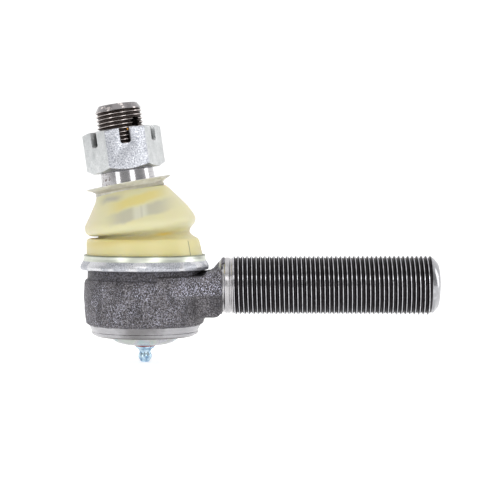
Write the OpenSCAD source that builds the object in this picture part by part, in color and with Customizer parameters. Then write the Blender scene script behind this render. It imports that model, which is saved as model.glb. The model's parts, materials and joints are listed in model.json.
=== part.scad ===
// Tie rod end: a forged socket on a threaded shank, a tilted ball stud with its slotted nut,
// a spring-loaded two-piece bearing, a swaged end cap with a grease fitting, and a sealing boot.
// Origin: centre of the ball. +X runs along the shank, +Z along the socket towards the stud.

/* [Shank] */
// Major diameter of the shank thread, 1 1/8-12
shank_d = 28.3; // [28:0.05:28.6]
// Height of the shank axis above the ball centre
shank_z = 5.6; // [5:0.1:6.4]
// Distance from the ball centre to the end of the forged neck
neck_end_x = 36.4; // [35:0.1:38]
// Diameter of the plain collar between the neck and the thread
collar_d = 26.6; // [26:0.1:27.8]
// Distance from the ball centre to the first thread
thread_start_x = 42; // [40:0.5:50]
// Distance from the ball centre to the last thread
thread_end_x = 135.2; // [100:0.1:160]
// Length of the chamfered and crowned end past the last thread
shank_tip_l = 5; // [4.4:0.1:7]

/* [Neck] */
// Height of the neck's upper face above the ball centre
neck_top_z = 12.6; // [11:0.1:13]
// Depth of the neck's lower face below the ball centre
neck_bottom_z = 9.2; // [8.6:0.1:10.4]
// Width of the neck across the forging's parting line
neck_w = 28.4; // [27:0.1:31]

/* [Socket] */
// Diameter of the forged body
body_d = 57.4; // [56.6:0.1:59]
// Diameter of the turned shoulder under the boot ring
shoulder_d = 54; // [53:0.1:55]
// Height of the turned shoulder above the ball centre
shoulder_z = 13.1; // [13.1:0.1:13.6]
// Height of the boss inside the boot above the ball centre
boss_z = 19.9; // [19:0.1:20.2]
// Diameter of the boss inside the boot
boss_d = 47; // [46:0.1:47.2]
// Depth of the rolled rim's lowest face below the ball centre
rim_z = 18.3; // [18.2:0.1:18.6]
// Diameter of the hole that the rolled rim leaves for the cap's dome
rim_hole_d = 33.6; // [33.4:0.1:34.4]
// Diameter of the bore that holds the two bearings
bore_d = 42.8; // [42.4:0.1:43]

/* [Ball stud] */
// Diameter of the ball
ball_d = 32.4; // [31.6:0.1:32.6]
// Tilt of the stud away from the shank as it stands, in degrees
stud_tilt = 8; // [0:0.5:10]
// Diameter of the neck above the ball
stud_neck_d = 19.2; // [17:0.1:19.4]
// Distance from the ball centre to the thick end of the taper
taper_start = 38; // [37:0.1:40]
// Length over which the neck widens below the taper
neck_flare_l = 4.6; // [3.6:0.1:5.4]
// Distance from the ball centre to the thin end of the taper
taper_end = 60.6; // [58:0.1:62]
// Diameter of the taper's thin end
taper_end_d = 24.9; // [23:0.1:26]
// Length over which the taper grows by one unit of diameter
taper_ratio = 8; // [8:1:10]
// Major diameter of the stud thread, 7/8-14
stud_thread_d = 22.1; // [20:0.05:22.4]
// Distance from the ball centre to the tip of the stud
stud_tip = 92; // [89:0.1:98]
// Diameter of the cotter pin hole
cotter_d = 4.8; // [3.6:0.1:5]
// Distance from the ball centre to the cotter pin hole
cotter_at = 82.6; // [82.5:0.1:85]
// Turn of the cotter pin hole about the stud, in degrees
cotter_turn = -41; // [-90:1:90]

/* [Slotted nut] */
// Width across the nut's flats
nut_af = 32.3; // [30:0.1:34]
// Height of the nut
nut_h = 19.4; // [17:0.1:19.6]
// Width of the nut's slots
nut_slot_w = 4.9; // [3.6:0.1:5.2]
// Depth of the nut's slots
nut_slot_depth = 7.3; // [5:0.1:8]
// Turn of the nut about the stud, in degrees
nut_turn = 10.5; // [0:0.1:59]

/* [Boot] */
// Outer radius of the boot's seat inside the ring
boot_seat_r = 27.6; // [27:0.05:27.65]
// Thickness of the boot's wall
boot_wall = 1.6; // [1.4:0.1:2.2]
// Radius of the top seal's flared lip
lip_r = 19.8; // [18:0.1:21]

/* [Hidden] */
$fn = 96;

// Clearances: a fit that runs, and two curved faces that only lie near each other
running = 0.05;
loose = 0.1;

// Levels in the socket, all in the housing's frame
throat_r = 15.8;
throat_z = 11.5;
boss_mouth_r = 19.5;
bore_top_z = 3.6;
cap_seat_z = -14.2;
cap_flange_t = 2.4;
cap_flange_r = 22;
cap_flange_z = cap_seat_z - cap_flange_t;
seal_groove = 1.1;
seal_wire_r = 0.5;

// Cap dome, washer and grease fitting, downwards from the rim
dome_r = rim_hole_d / 2 - 0.25;
dome_wall = 2;
dome_flat_r = 5.2;
dome_crown_r = 11.2;
dome_crown_rise = 0.5;
dome_knee_r = 14.6;
dome_knee_rise = 2.1;
dome_bottom_z = -22.6;
washer_r = 5;
washer_t = 0.7;
fitting_seat_z = dome_bottom_z - washer_t;
fitting_thread_r = 3.175;
fitting_hex_af = 7.94;
fitting_hex_h = 1.5;
fitting_hex_turn = 10;
fitting_stem_h = 5.49;
fitting_waist_r = 2.7;
fitting_head_r = 3.25;
fitting_tip_z = fitting_seat_z - 7.5;
mouth_r = 0.9;
mouth_l = 0.5;
chamber_r = 1.7;
check_ball_r = 1.45;
check_ball_z = fitting_tip_z + mouth_l + sqrt(pow(check_ball_r, 2) - pow(mouth_r, 2)) + 0.03;
chamber_top_z = fitting_seat_z + 2.8;

// Bearings
seat_r = ball_d / 2 + running;
upper_bearing_low_z = 0.5;
upper_bearing_top_z = 10.3;
upper_bearing_relief_z = 7.8;
upper_bearing_relief_r = 14.15;
lower_bearing_top_z = -0.5;
lower_bearing_low_z = -13.4;
lower_bearing_chamfer = 1.6;
ball_flat_z = -11.4;

// Preload spring between the lower bearing and the cap's dome
spring_wire_r = 1.1;
spring_top_z = lower_bearing_low_z - 0.02;
spring_low_z = -19.6;
spring_r = 10.6;
spring_turns = 1.9;

// Boot ring and top seal
ring_r = 30.5;
ring_band_r = 28.75;
ring_sheet = 1;
ring_h = 7.2;
seal_low_s = 50.8;
seal_neck_r = 16.3;

function stud_taper_r(s) = (taper_end_d + (taper_end - s) / taper_ratio) / 2;

// A point that turns about the ball centre by a share of the stud's tilt
function leaned(p, share) =
    let (a = -stud_tilt * share)
    [p.x * cos(a) + p.z * sin(a), p.y, -p.x * sin(a) + p.z * cos(a)];

// Faces of a tube of rings, each with n points, closed onto itself from last ring to first
function ring_wall(rings, n, closed) = [
    for (i = [0 : rings - (closed ? 1 : 2)])
        for (j = [0 : n - 1])
            let (
                a = i * n + j,
                b = i * n + (j + 1) % n,
                c = ((i + 1) % rings) * n + (j + 1) % n,
                d = ((i + 1) % rings) * n + j
            )
            each [[a, b, c], [a, c, d]]
];

// A round wire along a helix about Z
module coil(low_z, high_z, r, turns, wire_r, steps, sides) {
    rings = ceil(turns * steps);
    centre_low = low_z + wire_r;
    centre_high = high_z - wire_r;
    points = [
        for (i = [0 : rings])
            let (
                t = i / rings,
                a = 360 * turns * t,
                z = centre_low + (centre_high - centre_low) * t
            )
            for (k = [0 : sides - 1])
                let (b = 360 * k / sides)
                [
                    (r + wire_r * cos(b)) * cos(a),
                    (r + wire_r * cos(b)) * sin(a),
                    z + wire_r * sin(b)
                ]
    ];
    ends = [
        [for (k = [0 : sides - 1]) k],
        [for (k = [sides - 1 : -1 : 0]) rings * sides + k]
    ];
    polyhedron(points, concat(ring_wall(rings + 1, sides, false), ends));
}

module along_stud() {
    rotate([0, -stud_tilt, 0]) children();
}

module along_shank() {
    translate([0, 0, shank_z]) rotate([0, 90, 0]) children();
}

module socket_body() {
    rim_r = body_d / 2 - 3.6;
    chamfer_z = -12.2;
    rotate_extrude()
        polygon([
            [rim_hole_d / 2 - 0.25, -rim_z + 0.4],
            [rim_hole_d / 2 + 0.5, -rim_z],
            [rim_r - 2.2, -rim_z],
            [rim_r - 0.8, -rim_z + 0.6],
            [rim_r, -rim_z + 2],
            [rim_r + 0.2, chamfer_z - 2.6],
            [body_d / 2 - 0.9, chamfer_z],
            [body_d / 2, -6.1],
            [body_d / 2, 7.3],
            [body_d / 2 - 0.8, 8.9],
            [shoulder_d / 2, shoulder_z],
            [boss_d / 2, shoulder_z],
            [boss_d / 2, boss_z],
            [0, boss_z],
            [0, -rim_z + 0.4]
        ]);
}

module socket_cavity() {
    below = -rim_z - 1;
    above = boss_z + 1;
    rotate_extrude()
        polygon([
            [0, below],
            [rim_hole_d / 2, below],
            [rim_hole_d / 2, cap_flange_z],
            [cap_flange_r + running, cap_flange_z],
            [cap_flange_r + running, cap_seat_z],
            [bore_d / 2 + seal_groove, cap_seat_z],
            [bore_d / 2, cap_seat_z + 1.9],
            [bore_d / 2, bore_top_z],
            [throat_r, throat_z],
            [boss_mouth_r, boss_z],
            [boss_mouth_r + 0.6, above],
            [0, above]
        ]);
}

module neck() {
    mid_z = (neck_top_z - neck_bottom_z) / 2;
    half = neck_w / 2;
    draft = 1.4;
    corner = 5.8;
    corner_h = 4.4;
    rotate([90, 0, 90])
        linear_extrude(neck_end_x)
            polygon([
                [half, mid_z],
                [half - draft, neck_top_z - corner_h],
                [half - corner, neck_top_z],
                [corner - half, neck_top_z],
                [draft - half, neck_top_z - corner_h],
                [-half, mid_z],
                [draft - half, corner_h - neck_bottom_z],
                [corner - half, -neck_bottom_z],
                [half - corner, -neck_bottom_z],
                [half - draft, corner_h - neck_bottom_z]
            ]);
}

module shank() {
    r = shank_d / 2;
    flare_l = collar_d / 2 - (neck_top_z - shank_z);
    flare_x = neck_end_x + 1.7;
    chamfer = 4.4;
    chamfer_l = 3.7;
    crown = 9;
    tip_x = thread_end_x + shank_tip_l;
    along_shank()
        rotate_extrude()
            polygon([
                [0, flare_x - flare_l],
                [collar_d / 2 - flare_l, flare_x - flare_l],
                [collar_d / 2, flare_x],
                [collar_d / 2, thread_start_x],
                [r, thread_start_x],
                [r, thread_end_x],
                [r - chamfer, thread_end_x + chamfer_l],
                [r - crown, tip_x],
                [0, tip_x]
            ]);
}

module housing() {
    color("dimgray")
        difference() {
            union() {
                socket_body();
                neck();
                shank();
            }
            socket_cavity();
        }
}

module ball_stud() {
    ball_r = ball_d / 2;
    neck_r = stud_neck_d / 2;
    thread_r = stud_thread_d / 2;
    tip_chamfer_l = 3.1;
    tip_chamfer_r = 2.2;
    taper_land = 0.6;
    color("silver")
        along_stud()
            difference() {
                union() {
                    intersection() {
                        sphere(r = ball_r);
                        translate([0, 0, ball_flat_z])
                            cylinder(h = ball_r * 3, r = ball_r + 1);
                    }
                    rotate_extrude()
                        polygon([
                            [0, ball_r / 3],
                            [neck_r, ball_r / 3],
                            [neck_r, taper_start - neck_flare_l - taper_land],
                            [neck_r + 1.1, taper_start - neck_flare_l / 2 - taper_land],
                            [stud_taper_r(taper_start), taper_start - taper_land],
                            [stud_taper_r(taper_start), taper_start],
                            [stud_taper_r(taper_end), taper_end],
                            [thread_r, taper_end],
                            [thread_r, stud_tip - tip_chamfer_l],
                            [thread_r - tip_chamfer_r, stud_tip],
                            [0, stud_tip]
                        ]);
                }
                translate([0, 0, cotter_at])
                    rotate([0, 90, cotter_turn])
                        cylinder(h = stud_thread_d * 2, r = cotter_d / 2, center = true);
            }
}

module slotted_nut() {
    flat_r = nut_af / 2;
    corner_r = flat_r / cos(30);
    round_r = corner_r + 0.2;
    slot_corner_r = 1.3;
    color("gainsboro")
        along_stud()
            translate([0, 0, taper_end + 0.02])
                rotate([0, 0, nut_turn])
                    difference() {
                        intersection() {
                            cylinder(h = nut_h, r = corner_r, $fn = 6);
                            rotate_extrude()
                                polygon([
                                    [0, 0],
                                    [flat_r - 0.5, 0],
                                    [round_r, 1.9],
                                    [round_r, nut_h - 1],
                                    [flat_r + 0.3, nut_h],
                                    [0, nut_h]
                                ]);
                        }
                        translate([0, 0, -1])
                            cylinder(h = nut_h + 2, r = stud_thread_d / 2 + running);
                        for (k = [0 : 2])
                            rotate([0, 0, 60 * k + 30])
                                translate([0, 0, nut_h - nut_slot_depth])
                                    slot_cutter(nut_slot_w, slot_corner_r, nut_af * 2);
                    }
}

// A slot along X through the axis, open upwards, its floor at Z = 0 with rounded corners
module slot_cutter(width, corner_r, length) {
    side = width / 2 - corner_r;
    for (y = [-side, side])
        translate([0, y, corner_r])
            rotate([0, 90, 0])
                cylinder(h = length, r = corner_r, center = true);
    translate([-length / 2, -side, 0])
        cube([length, 2 * side, width]);
    translate([-length / 2, -width / 2, corner_r])
        cube([length, width, nut_slot_depth]);
}

module upper_bearing() {
    gap = loose / 2;
    slope = (throat_r - bore_d / 2) / (throat_z - bore_top_z);
    top_r = bore_d / 2 + slope * (upper_bearing_top_z - bore_top_z);
    relief_h = upper_bearing_top_z - upper_bearing_relief_z;
    relief_top_r = upper_bearing_relief_r + relief_h;
    color("ivory")
        difference() {
            rotate_extrude()
                polygon([
                    [0, upper_bearing_low_z],
                    [bore_d / 2 - gap, upper_bearing_low_z],
                    [bore_d / 2 - gap, bore_top_z - gap],
                    [top_r - gap, upper_bearing_top_z],
                    [0, upper_bearing_top_z]
                ]);
            sphere(r = seat_r);
            translate([0, 0, upper_bearing_relief_z])
                cylinder(h = 2 * relief_h, r1 = upper_bearing_relief_r, r2 = relief_top_r);
        }
}

module lower_bearing() {
    r = bore_d / 2 - running;
    h = lower_bearing_top_z - lower_bearing_low_z;
    color("ivory")
        difference() {
            translate([0, 0, lower_bearing_low_z])
                rotate_extrude()
                    polygon([
                        [0, 0],
                        [r - lower_bearing_chamfer, 0],
                        [r, lower_bearing_chamfer],
                        [r, h],
                        [0, h]
                    ]);
            sphere(r = seat_r);
        }
}

module preload_spring() {
    color("slategray")
        coil(spring_low_z, spring_top_z, spring_r, spring_turns, spring_wire_r, 24, 8);
}

module end_cap() {
    hole_r = fitting_thread_r + running;
    inner_r = dome_r - dome_wall;
    knee_inset = 1.2;
    crown_inset = 0.4;
    color("lightgray")
        rotate_extrude()
            polygon([
                [hole_r, dome_bottom_z],
                [dome_flat_r, dome_bottom_z],
                [dome_crown_r, dome_bottom_z + dome_crown_rise],
                [dome_knee_r, dome_bottom_z + dome_knee_rise],
                [dome_r, -rim_z - 0.1],
                [dome_r, cap_flange_z],
                [cap_flange_r, cap_flange_z],
                [cap_flange_r, cap_seat_z],
                [inner_r + 1.2, cap_seat_z],
                [inner_r - 0.6, cap_flange_z + 0.2],
                [dome_knee_r - knee_inset, dome_bottom_z + dome_knee_rise + dome_wall],
                [dome_crown_r - crown_inset, dome_bottom_z + dome_crown_rise + dome_wall],
                [dome_flat_r, dome_bottom_z + dome_wall],
                [hole_r, dome_bottom_z + dome_wall]
            ]);
}

module cap_seal() {
    color("black")
        rotate_extrude()
            translate([bore_d / 2 + 0.18, cap_seat_z + seal_wire_r + 0.01])
                circle(r = seal_wire_r, $fn = 24);
}

module fitting_washer() {
    color("darkred")
        translate([0, 0, fitting_seat_z])
            difference() {
                cylinder(h = washer_t, r = washer_r);
                translate([0, 0, -1])
                    cylinder(h = washer_t + 2, r = fitting_thread_r + running);
            }
}

module grease_fitting() {
    hex_low_z = fitting_seat_z - fitting_hex_h;
    hex_r = fitting_hex_af / 2;
    through_h = fitting_seat_z + fitting_stem_h - fitting_tip_z + 2;
    color("lightsteelblue")
        difference() {
            union() {
                translate([0, 0, fitting_seat_z - 0.01])
                    cylinder(h = fitting_stem_h + 0.01, r = fitting_thread_r);
                translate([0, 0, hex_low_z])
                    intersection() {
                        rotate([0, 0, fitting_hex_turn])
                            cylinder(h = fitting_hex_h, r = hex_r / cos(30), $fn = 6);
                        cylinder(h = fitting_hex_h, r1 = hex_r - 0.5, r2 = hex_r + 1.4);
                    }
                rotate_extrude()
                    polygon([
                        [0, hex_low_z + 0.2],
                        [3.4, hex_low_z + 0.2],
                        [fitting_waist_r, hex_low_z - 0.7],
                        [fitting_waist_r, hex_low_z - 1.4],
                        [fitting_head_r, hex_low_z - 2.8],
                        [fitting_head_r, hex_low_z - 3.8],
                        [1.9, fitting_tip_z],
                        [0, fitting_tip_z]
                    ]);
            }
            translate([0, 0, fitting_tip_z - 1])
                cylinder(h = through_h, r = mouth_r);
            translate([0, 0, fitting_tip_z + mouth_l])
                cylinder(h = chamber_top_z - fitting_tip_z - mouth_l, r = chamber_r);
        }
}

module fitting_check_ball() {
    color("silver")
        translate([0, 0, check_ball_z])
            sphere(r = check_ball_r);
}

module fitting_check_spring() {
    wire_r = 0.18;
    turns = 6;
    r = 1.2;
    low_z = check_ball_z + check_ball_r * 0.85;
    color("slategray")
        coil(low_z, chamber_top_z - 0.02, r, turns, wire_r, 16, 6);
}

module boot_retaining_ring() {
    low = shoulder_z + 0.01;
    color("silver")
        rotate_extrude()
            polygon([
                [boss_d / 2 + running, low],
                [ring_r - 1, low],
                [ring_r - 0.25, low + 0.4],
                [ring_r, low + 1.2],
                [ring_r, low + 2],
                [ring_band_r + 0.4, low + 4.4],
                [ring_band_r, low + 5.4],
                [ring_band_r, low + ring_h],
                [ring_band_r - ring_sheet, low + ring_h],
                [ring_band_r - ring_sheet, low + 5.3],
                [ring_band_r + 0.4 - ring_sheet, low + 4.1],
                [ring_r - ring_sheet, low + 1.9],
                [ring_r - ring_sheet, low + ring_sheet],
                [boss_d / 2 + running, low + ring_sheet]
            ]);
}

// Rings of the boot's outer face: height, radius, share of the stud's tilt
boot_rings = [
    [14.5, boot_seat_r, 0],
    [17.5, boot_seat_r, 0],
    [20.6, boot_seat_r - 0.2, 0],
    [24, 27, 0.1],
    [27.1, 26.5, 0.25],
    [29, 24.7, 0.4],
    [30.5, 23.2, 0.5],
    [32.2, 24.2, 0.55],
    [34.1, 25.9, 0.58],
    [36.2, 25.7, 0.6],
    [39.8, 23.8, 0.7],
    [44.4, 20.9, 0.85],
    [seal_low_s - 0.1, seal_neck_r, 1]
];

module dust_boot() {
    n = 44;
    count = len(boot_rings);
    // the wall's inner face follows the outer one back down, and clears the boss at the bottom
    inner = [
        for (i = [count - 1 : -1 : 0])
            let (
                ring = boot_rings[i],
                r = i < 2 ? boss_d / 2 + 0.25 : ring[1] - boot_wall,
                z = ring[0] - (i > 8 && i < count - 1 ? 1 : 0)
            )
            [z, r, ring[2]]
    ];
    loop = concat(boot_rings, inner);
    points = [
        for (ring = loop)
            for (k = [0 : n - 1])
                leaned([ring[1] * cos(360 * k / n), ring[1] * sin(360 * k / n), ring[0]], ring[2])
    ];
    color("khaki")
        polyhedron(points, ring_wall(len(loop), n, true));
}

module boot_top_seal() {
    low = seal_low_s;
    lip_rise = 3.3;
    color("whitesmoke")
        along_stud()
            rotate_extrude()
                polygon([
                    [stud_taper_r(low) + loose, low],
                    [seal_neck_r, low],
                    [seal_neck_r + 0.4, low + 1.2],
                    [lip_r, low + lip_rise],
                    [lip_r, low + lip_rise + 0.5],
                    [seal_neck_r - 0.2, low + 3.1],
                    [stud_taper_r(low + 3.6) + loose, low + 3.6]
                ]);
}

housing();
ball_stud();
slotted_nut();
upper_bearing();
lower_bearing();
preload_spring();
end_cap();
cap_seal();
fitting_washer();
grease_fitting();
fitting_check_ball();
fitting_check_spring();
boot_retaining_ring();
dust_boot();
boot_top_seal();
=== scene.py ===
import json
import math

import bmesh
import bpy
import numpy as np
from mathutils import Matrix, Vector


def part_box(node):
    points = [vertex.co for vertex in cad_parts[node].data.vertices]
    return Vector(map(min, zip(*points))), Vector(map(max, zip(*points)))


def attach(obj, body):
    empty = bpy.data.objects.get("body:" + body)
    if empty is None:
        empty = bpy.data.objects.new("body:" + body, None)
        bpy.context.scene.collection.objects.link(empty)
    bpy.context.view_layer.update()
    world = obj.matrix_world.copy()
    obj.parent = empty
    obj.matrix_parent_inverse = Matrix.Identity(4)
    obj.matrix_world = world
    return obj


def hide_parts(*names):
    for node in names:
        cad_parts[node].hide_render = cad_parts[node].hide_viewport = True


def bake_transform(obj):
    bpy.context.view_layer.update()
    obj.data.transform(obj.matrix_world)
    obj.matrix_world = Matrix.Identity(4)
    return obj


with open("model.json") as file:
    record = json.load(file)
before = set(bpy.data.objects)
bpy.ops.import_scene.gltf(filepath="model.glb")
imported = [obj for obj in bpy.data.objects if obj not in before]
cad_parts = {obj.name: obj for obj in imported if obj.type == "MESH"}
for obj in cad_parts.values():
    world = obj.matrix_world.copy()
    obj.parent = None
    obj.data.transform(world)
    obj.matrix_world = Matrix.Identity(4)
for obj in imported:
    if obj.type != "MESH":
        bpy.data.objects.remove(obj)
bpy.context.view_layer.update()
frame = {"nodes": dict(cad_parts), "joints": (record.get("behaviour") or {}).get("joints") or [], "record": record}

# Lengths are in millimetres, except in a material, which sees coordinates in metres, and in names with _M
MM = 0.001
# points of a mesh that are nearer than this are joined
WELD = 0.002


# ---------------------------------------------------------------- what the frame says
mounts = {m["name"]: m for m in frame["record"]["mounts"]}
joints = {j["name"]: j for j in frame["joints"]}


def box_mm(node):
    """The lowest and highest corner of a CAD node."""
    low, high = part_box(node)
    return np.array(low) / MM, np.array(high) / MM


stud_axis = Vector(joints["stud_spin"]["axis"]).normalized()
STUD_TILT = math.atan2(-stud_axis.x, stud_axis.z)
ALONG_STUD = Matrix.Rotation(-STUD_TILT, 4, "Y")

SHANK_R = mounts["shank_thread"]["dims"]["r_mm"]
SHANK_Z = mounts["shank_thread"]["pos_m"][2] / MM
SHANK_PITCH = 25.4 / 12
SHANK_MID_X = mounts["shank_thread"]["pos_m"][0] / MM
THREAD_START_X = SHANK_MID_X - mounts["shank_thread"]["dims"]["length_mm"] / 2
THREAD_END_X = SHANK_MID_X + mounts["shank_thread"]["dims"]["length_mm"] / 2
TIP_X = box_mm("housing")[1][0]
ALONG_SHANK = Matrix.Translation((0, 0, SHANK_Z)) @ Matrix.Rotation(math.pi / 2, 4, "Y")

STUD_R = mounts["stud_thread"]["dims"]["r_mm"]
STUD_PITCH = 25.4 / 14
TAPER_LENGTH = mounts["stud_taper"]["dims"]["length_mm"]
TAPER_MID_R = mounts["stud_taper"]["dims"]["r_mm"]
TAPER_MID = Vector(mounts["stud_taper"]["pos_m"]).length / MM
TAPER_START = TAPER_MID - TAPER_LENGTH / 2
TAPER_END = TAPER_MID + TAPER_LENGTH / 2
COTTER_R = mounts["cotter_hole"]["dims"]["r_mm"]

RING_LOW, RING_HIGH = box_mm("boot_retaining_ring")
RING_R = RING_HIGH[1]
SOCKET_LOW = box_mm("housing")[0]


def taper_r(s):
    """Radius of the stud's taper at a distance s from the ball centre: 1:8 on the diameter."""
    return TAPER_MID_R + (TAPER_MID - s) / 16


# ---------------------------------------------------------------- outlines
def filleted(corners, steps=5):
    """A closed outline's corners (radius, height, fillet), with each fillet drawn as an arc."""
    outline = []
    for i, corner in enumerate(corners):
        p = Vector(corner[:2])
        fillet = corner[2] if len(corner) > 2 else 0
        if fillet == 0:
            outline.append(tuple(p))
            continue
        before = (Vector(corners[i - 1][:2]) - p).normalized()
        after = (Vector(corners[(i + 1) % len(corners)][:2]) - p).normalized()
        half = before.angle(after) / 2
        centre = p + (before + after).normalized() * fillet / math.sin(half)
        start = p + before * fillet / math.tan(half) - centre
        end = p + after * fillet / math.tan(half) - centre
        turn = math.atan2(start.x * end.y - start.y * end.x, start.dot(end))
        for k in range(steps + 1):
            arm = Matrix.Rotation(turn * k / steps, 2) @ start
            outline.append(tuple(centre + arm))
    return outline


def spline(points, count):
    """count points along a smooth curve through the given ones."""
    points = np.array(points, float)
    padded = np.vstack([2 * points[0] - points[1], points, 2 * points[-1] - points[-2]])
    at = np.linspace(0, len(points) - 1, count)
    k = np.minimum(at.astype(int), len(points) - 2)
    t = (at - k)[:, None]
    a, b, c, d = (padded[k + i] for i in range(4))
    square, cube = 2 * a - 5 * b + 4 * c - d, 3 * b - a - 3 * c + d
    return 0.5 * (2 * b + (c - a) * t + square * t**2 + cube * t**3)


def raised(outline, base):
    """An outline whose heights were measured from base."""
    return [(r, base + z, *fillet) for r, z, *fillet in outline]


# ---------------------------------------------------------------- meshes
def add_object(name, data):
    """An object in the scene for a mesh, a lamp or a camera."""
    made = bpy.data.objects.new(name, data)
    bpy.context.scene.collection.objects.link(made)
    return made


def move_mesh(mesh, place):
    """Moves a mesh by a matrix whose translation is in millimetres."""
    moved = place.copy()
    moved.translation *= MM
    mesh.transform(moved)


def shade(mesh, sharp_deg):
    """Smooth shading, except along edges sharper than sharp_deg."""
    mesh.polygons.foreach_set("use_smooth", [True] * len(mesh.polygons))
    mesh.set_sharp_from_angle(angle=math.radians(sharp_deg))


def make_piece(name, points, faces, place=None, sharp_deg=35):
    """A mesh object from points in millimetres."""
    mesh = bpy.data.meshes.new(name)
    mesh.from_pydata((np.asarray(points, float) * MM).tolist(), [], faces)
    if place is not None:
        move_mesh(mesh, place)
    return finish_mesh(mesh, sharp_deg)


def finish_mesh(mesh, sharp_deg):
    """Welds, cleans and shades a mesh, and makes its object."""
    bm = bmesh.new()
    bm.from_mesh(mesh)
    bmesh.ops.remove_doubles(bm, verts=bm.verts, dist=WELD * MM)
    loose = [e for e in bm.edges if not e.link_faces]
    bmesh.ops.delete(bm, geom=loose, context="EDGES")
    bmesh.ops.delete(bm, geom=[v for v in bm.verts if not v.link_faces], context="VERTS")
    bmesh.ops.recalc_face_normals(bm, faces=bm.faces)
    bm.to_mesh(mesh)
    bm.free()
    shade(mesh, sharp_deg)
    return add_object(mesh.name, mesh)


def grid_faces(rows, columns, closed_rows):
    """Quads over a grid of points whose columns go round."""
    i = np.arange(rows if closed_rows else rows - 1)[:, None]
    j = np.arange(columns)[None, :]
    below, above = i * columns, ((i + 1) % rows) * columns
    right = (j + 1) % columns
    quads = np.stack([below + j, below + right, above + right, above + j], -1)
    return quads.reshape(-1, 4).tolist()


def revolve(name, outline, place=None, segments=160, closed=True, sharp_deg=35):
    """A solid of revolution about Z. An outline that starts and ends on the axis isn't closed."""
    outline = np.array(outline, float)
    angle = np.linspace(0, 2 * math.pi, segments, endpoint=False)
    r, z = outline[:, :1], outline[:, 1:2]
    points = np.stack([r * np.cos(angle), r * np.sin(angle), z + 0 * angle], -1)
    faces = grid_faces(len(outline), segments, closed)
    return make_piece(name, points.reshape(-1, 3), faces, place, sharp_deg)


def hexagon(across_flats, turn=0.0):
    """The corners of a hexagon about Z, the first at the angle turn."""
    corner_r = across_flats / 2 / math.cos(math.pi / 6)
    angles = [turn + math.pi / 3 * k for k in range(6)]
    return [(corner_r * math.cos(a), corner_r * math.sin(a)) for a in angles]


def prism(name, outline, low, high, place=None):
    """A solid with the same outline from low to high on Z."""
    n = len(outline)
    points = [(*p, z) for z in (low, high) for p in outline]
    faces = [[i, (i + 1) % n, n + (i + 1) % n, n + i] for i in range(n)]
    faces += [list(range(n))[::-1], list(range(n, 2 * n))]
    return make_piece(name, points, faces, place)


def apply_modifiers(piece):
    """Replaces a piece's mesh with what its modifiers make of it."""
    graph = bpy.context.evaluated_depsgraph_get()
    made = bpy.data.meshes.new_from_object(piece.evaluated_get(graph))
    piece.modifiers.clear()
    piece.data = made
    made.name = piece.name
    shade(made, 35)


def cut(piece, tool, operation="DIFFERENCE"):
    """Cuts a piece with a tool, or joins or intersects them, and removes the tool."""
    modifier = piece.modifiers.new("cut", "BOOLEAN")
    modifier.solver = "EXACT"
    modifier.operation = operation
    modifier.object = tool
    apply_modifiers(piece)
    bpy.data.objects.remove(tool)


def bevel(piece, width, segments):
    """Rounds a piece's edges, except the nearly flat ones."""
    modifier = piece.modifiers.new("bevel", "BEVEL")
    modifier.width = width * MM
    modifier.segments = segments
    modifier.limit_method = "ANGLE"
    modifier.angle_limit = math.radians(28)
    modifier.use_clamp_overlap = True
    apply_modifiers(piece)


# one turn of a 60 degree thread: (share of the pitch, depth as a share of the pitch)
THREAD_PROFILE = [
    (0, 0), (0.11, 0), (0.2, 0.16), (0.31, 0.36), (0.43, 0.56),
    (0.56, 0.61), (0.69, 0.56), (0.81, 0.36), (0.92, 0.16),
]


def threaded_bar(name, place, pitch, crest_r, start, end, envelope, stations, around=120):
    """A bar with a real right-hand helical thread, from start to end, and then through stations.

    envelope(x) gives the largest radius at x and how deep the thread is there, from 0 to 1.
    stations are (x, radius) rings past the threaded stretch, each narrower than the last."""
    turns = math.ceil((end - start) / pitch) + 2
    phase = np.array([k + p for k in range(turns) for p, _ in THREAD_PROFILE])
    depth = np.array([d for _ in range(turns) for _, d in THREAD_PROFILE]) * pitch
    rows, j = len(phase), np.arange(around + 1)
    x = start - 1.5 * pitch + pitch * (phase[:, None] + j[None, :] / around)
    limit, share = envelope(x)
    r = np.minimum(limit, crest_r - depth[:, None] * share)
    r = np.where(share <= 0, limit, r)
    a = 2 * math.pi * j / around
    points = np.stack([r * np.cos(a), r * np.sin(a), x], -1)
    bm = bmesh.new()
    verts = [[bm.verts.new(points[i, k] * MM) for k in range(around)] for i in range(rows)]
    for i in range(rows - 1):
        for k in range(around):
            # past the last column comes the first one, a turn further along
            ahead, column = (i, k + 1) if k < around - 1 else (i + len(THREAD_PROFILE), 0)
            if ahead + 1 < rows:
                bm.faces.new([verts[i][k], verts[ahead][column], verts[ahead + 1][column], verts[i + 1][k]])
    for cut_x, side in ((start, -1), (end, 1)):
        geometry = [*bm.verts, *bm.edges, *bm.faces]
        plane = {"plane_co": (0, 0, cut_x * MM), "plane_no": (0, 0, side)}
        bmesh.ops.bisect_plane(bm, geom=geometry, clear_outer=True, **plane)
    border = [e for e in bm.edges if e.is_boundary]
    far = [e for e in border if e.verts[0].co.z > (start + end) / 2 * MM]
    near = [e for e in border if e not in set(far)]
    bmesh.ops.edgeloop_fill(bm, edges=near)
    for station_x, station_r in stations:
        made = bmesh.ops.extrude_edge_only(bm, edges=far)["geom"]
        for v in (g for g in made if isinstance(g, bmesh.types.BMVert)):
            flat = Vector((v.co.x, v.co.y, 0)).normalized() * station_r * MM
            v.co = Vector((flat.x, flat.y, station_x * MM))
        far = [g for g in made if isinstance(g, bmesh.types.BMEdge)]
    bmesh.ops.edgeloop_fill(bm, edges=far)
    mesh = bpy.data.meshes.new(name)
    bm.to_mesh(mesh)
    bm.free()
    move_mesh(mesh, place)
    return finish_mesh(mesh, 50)


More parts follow.
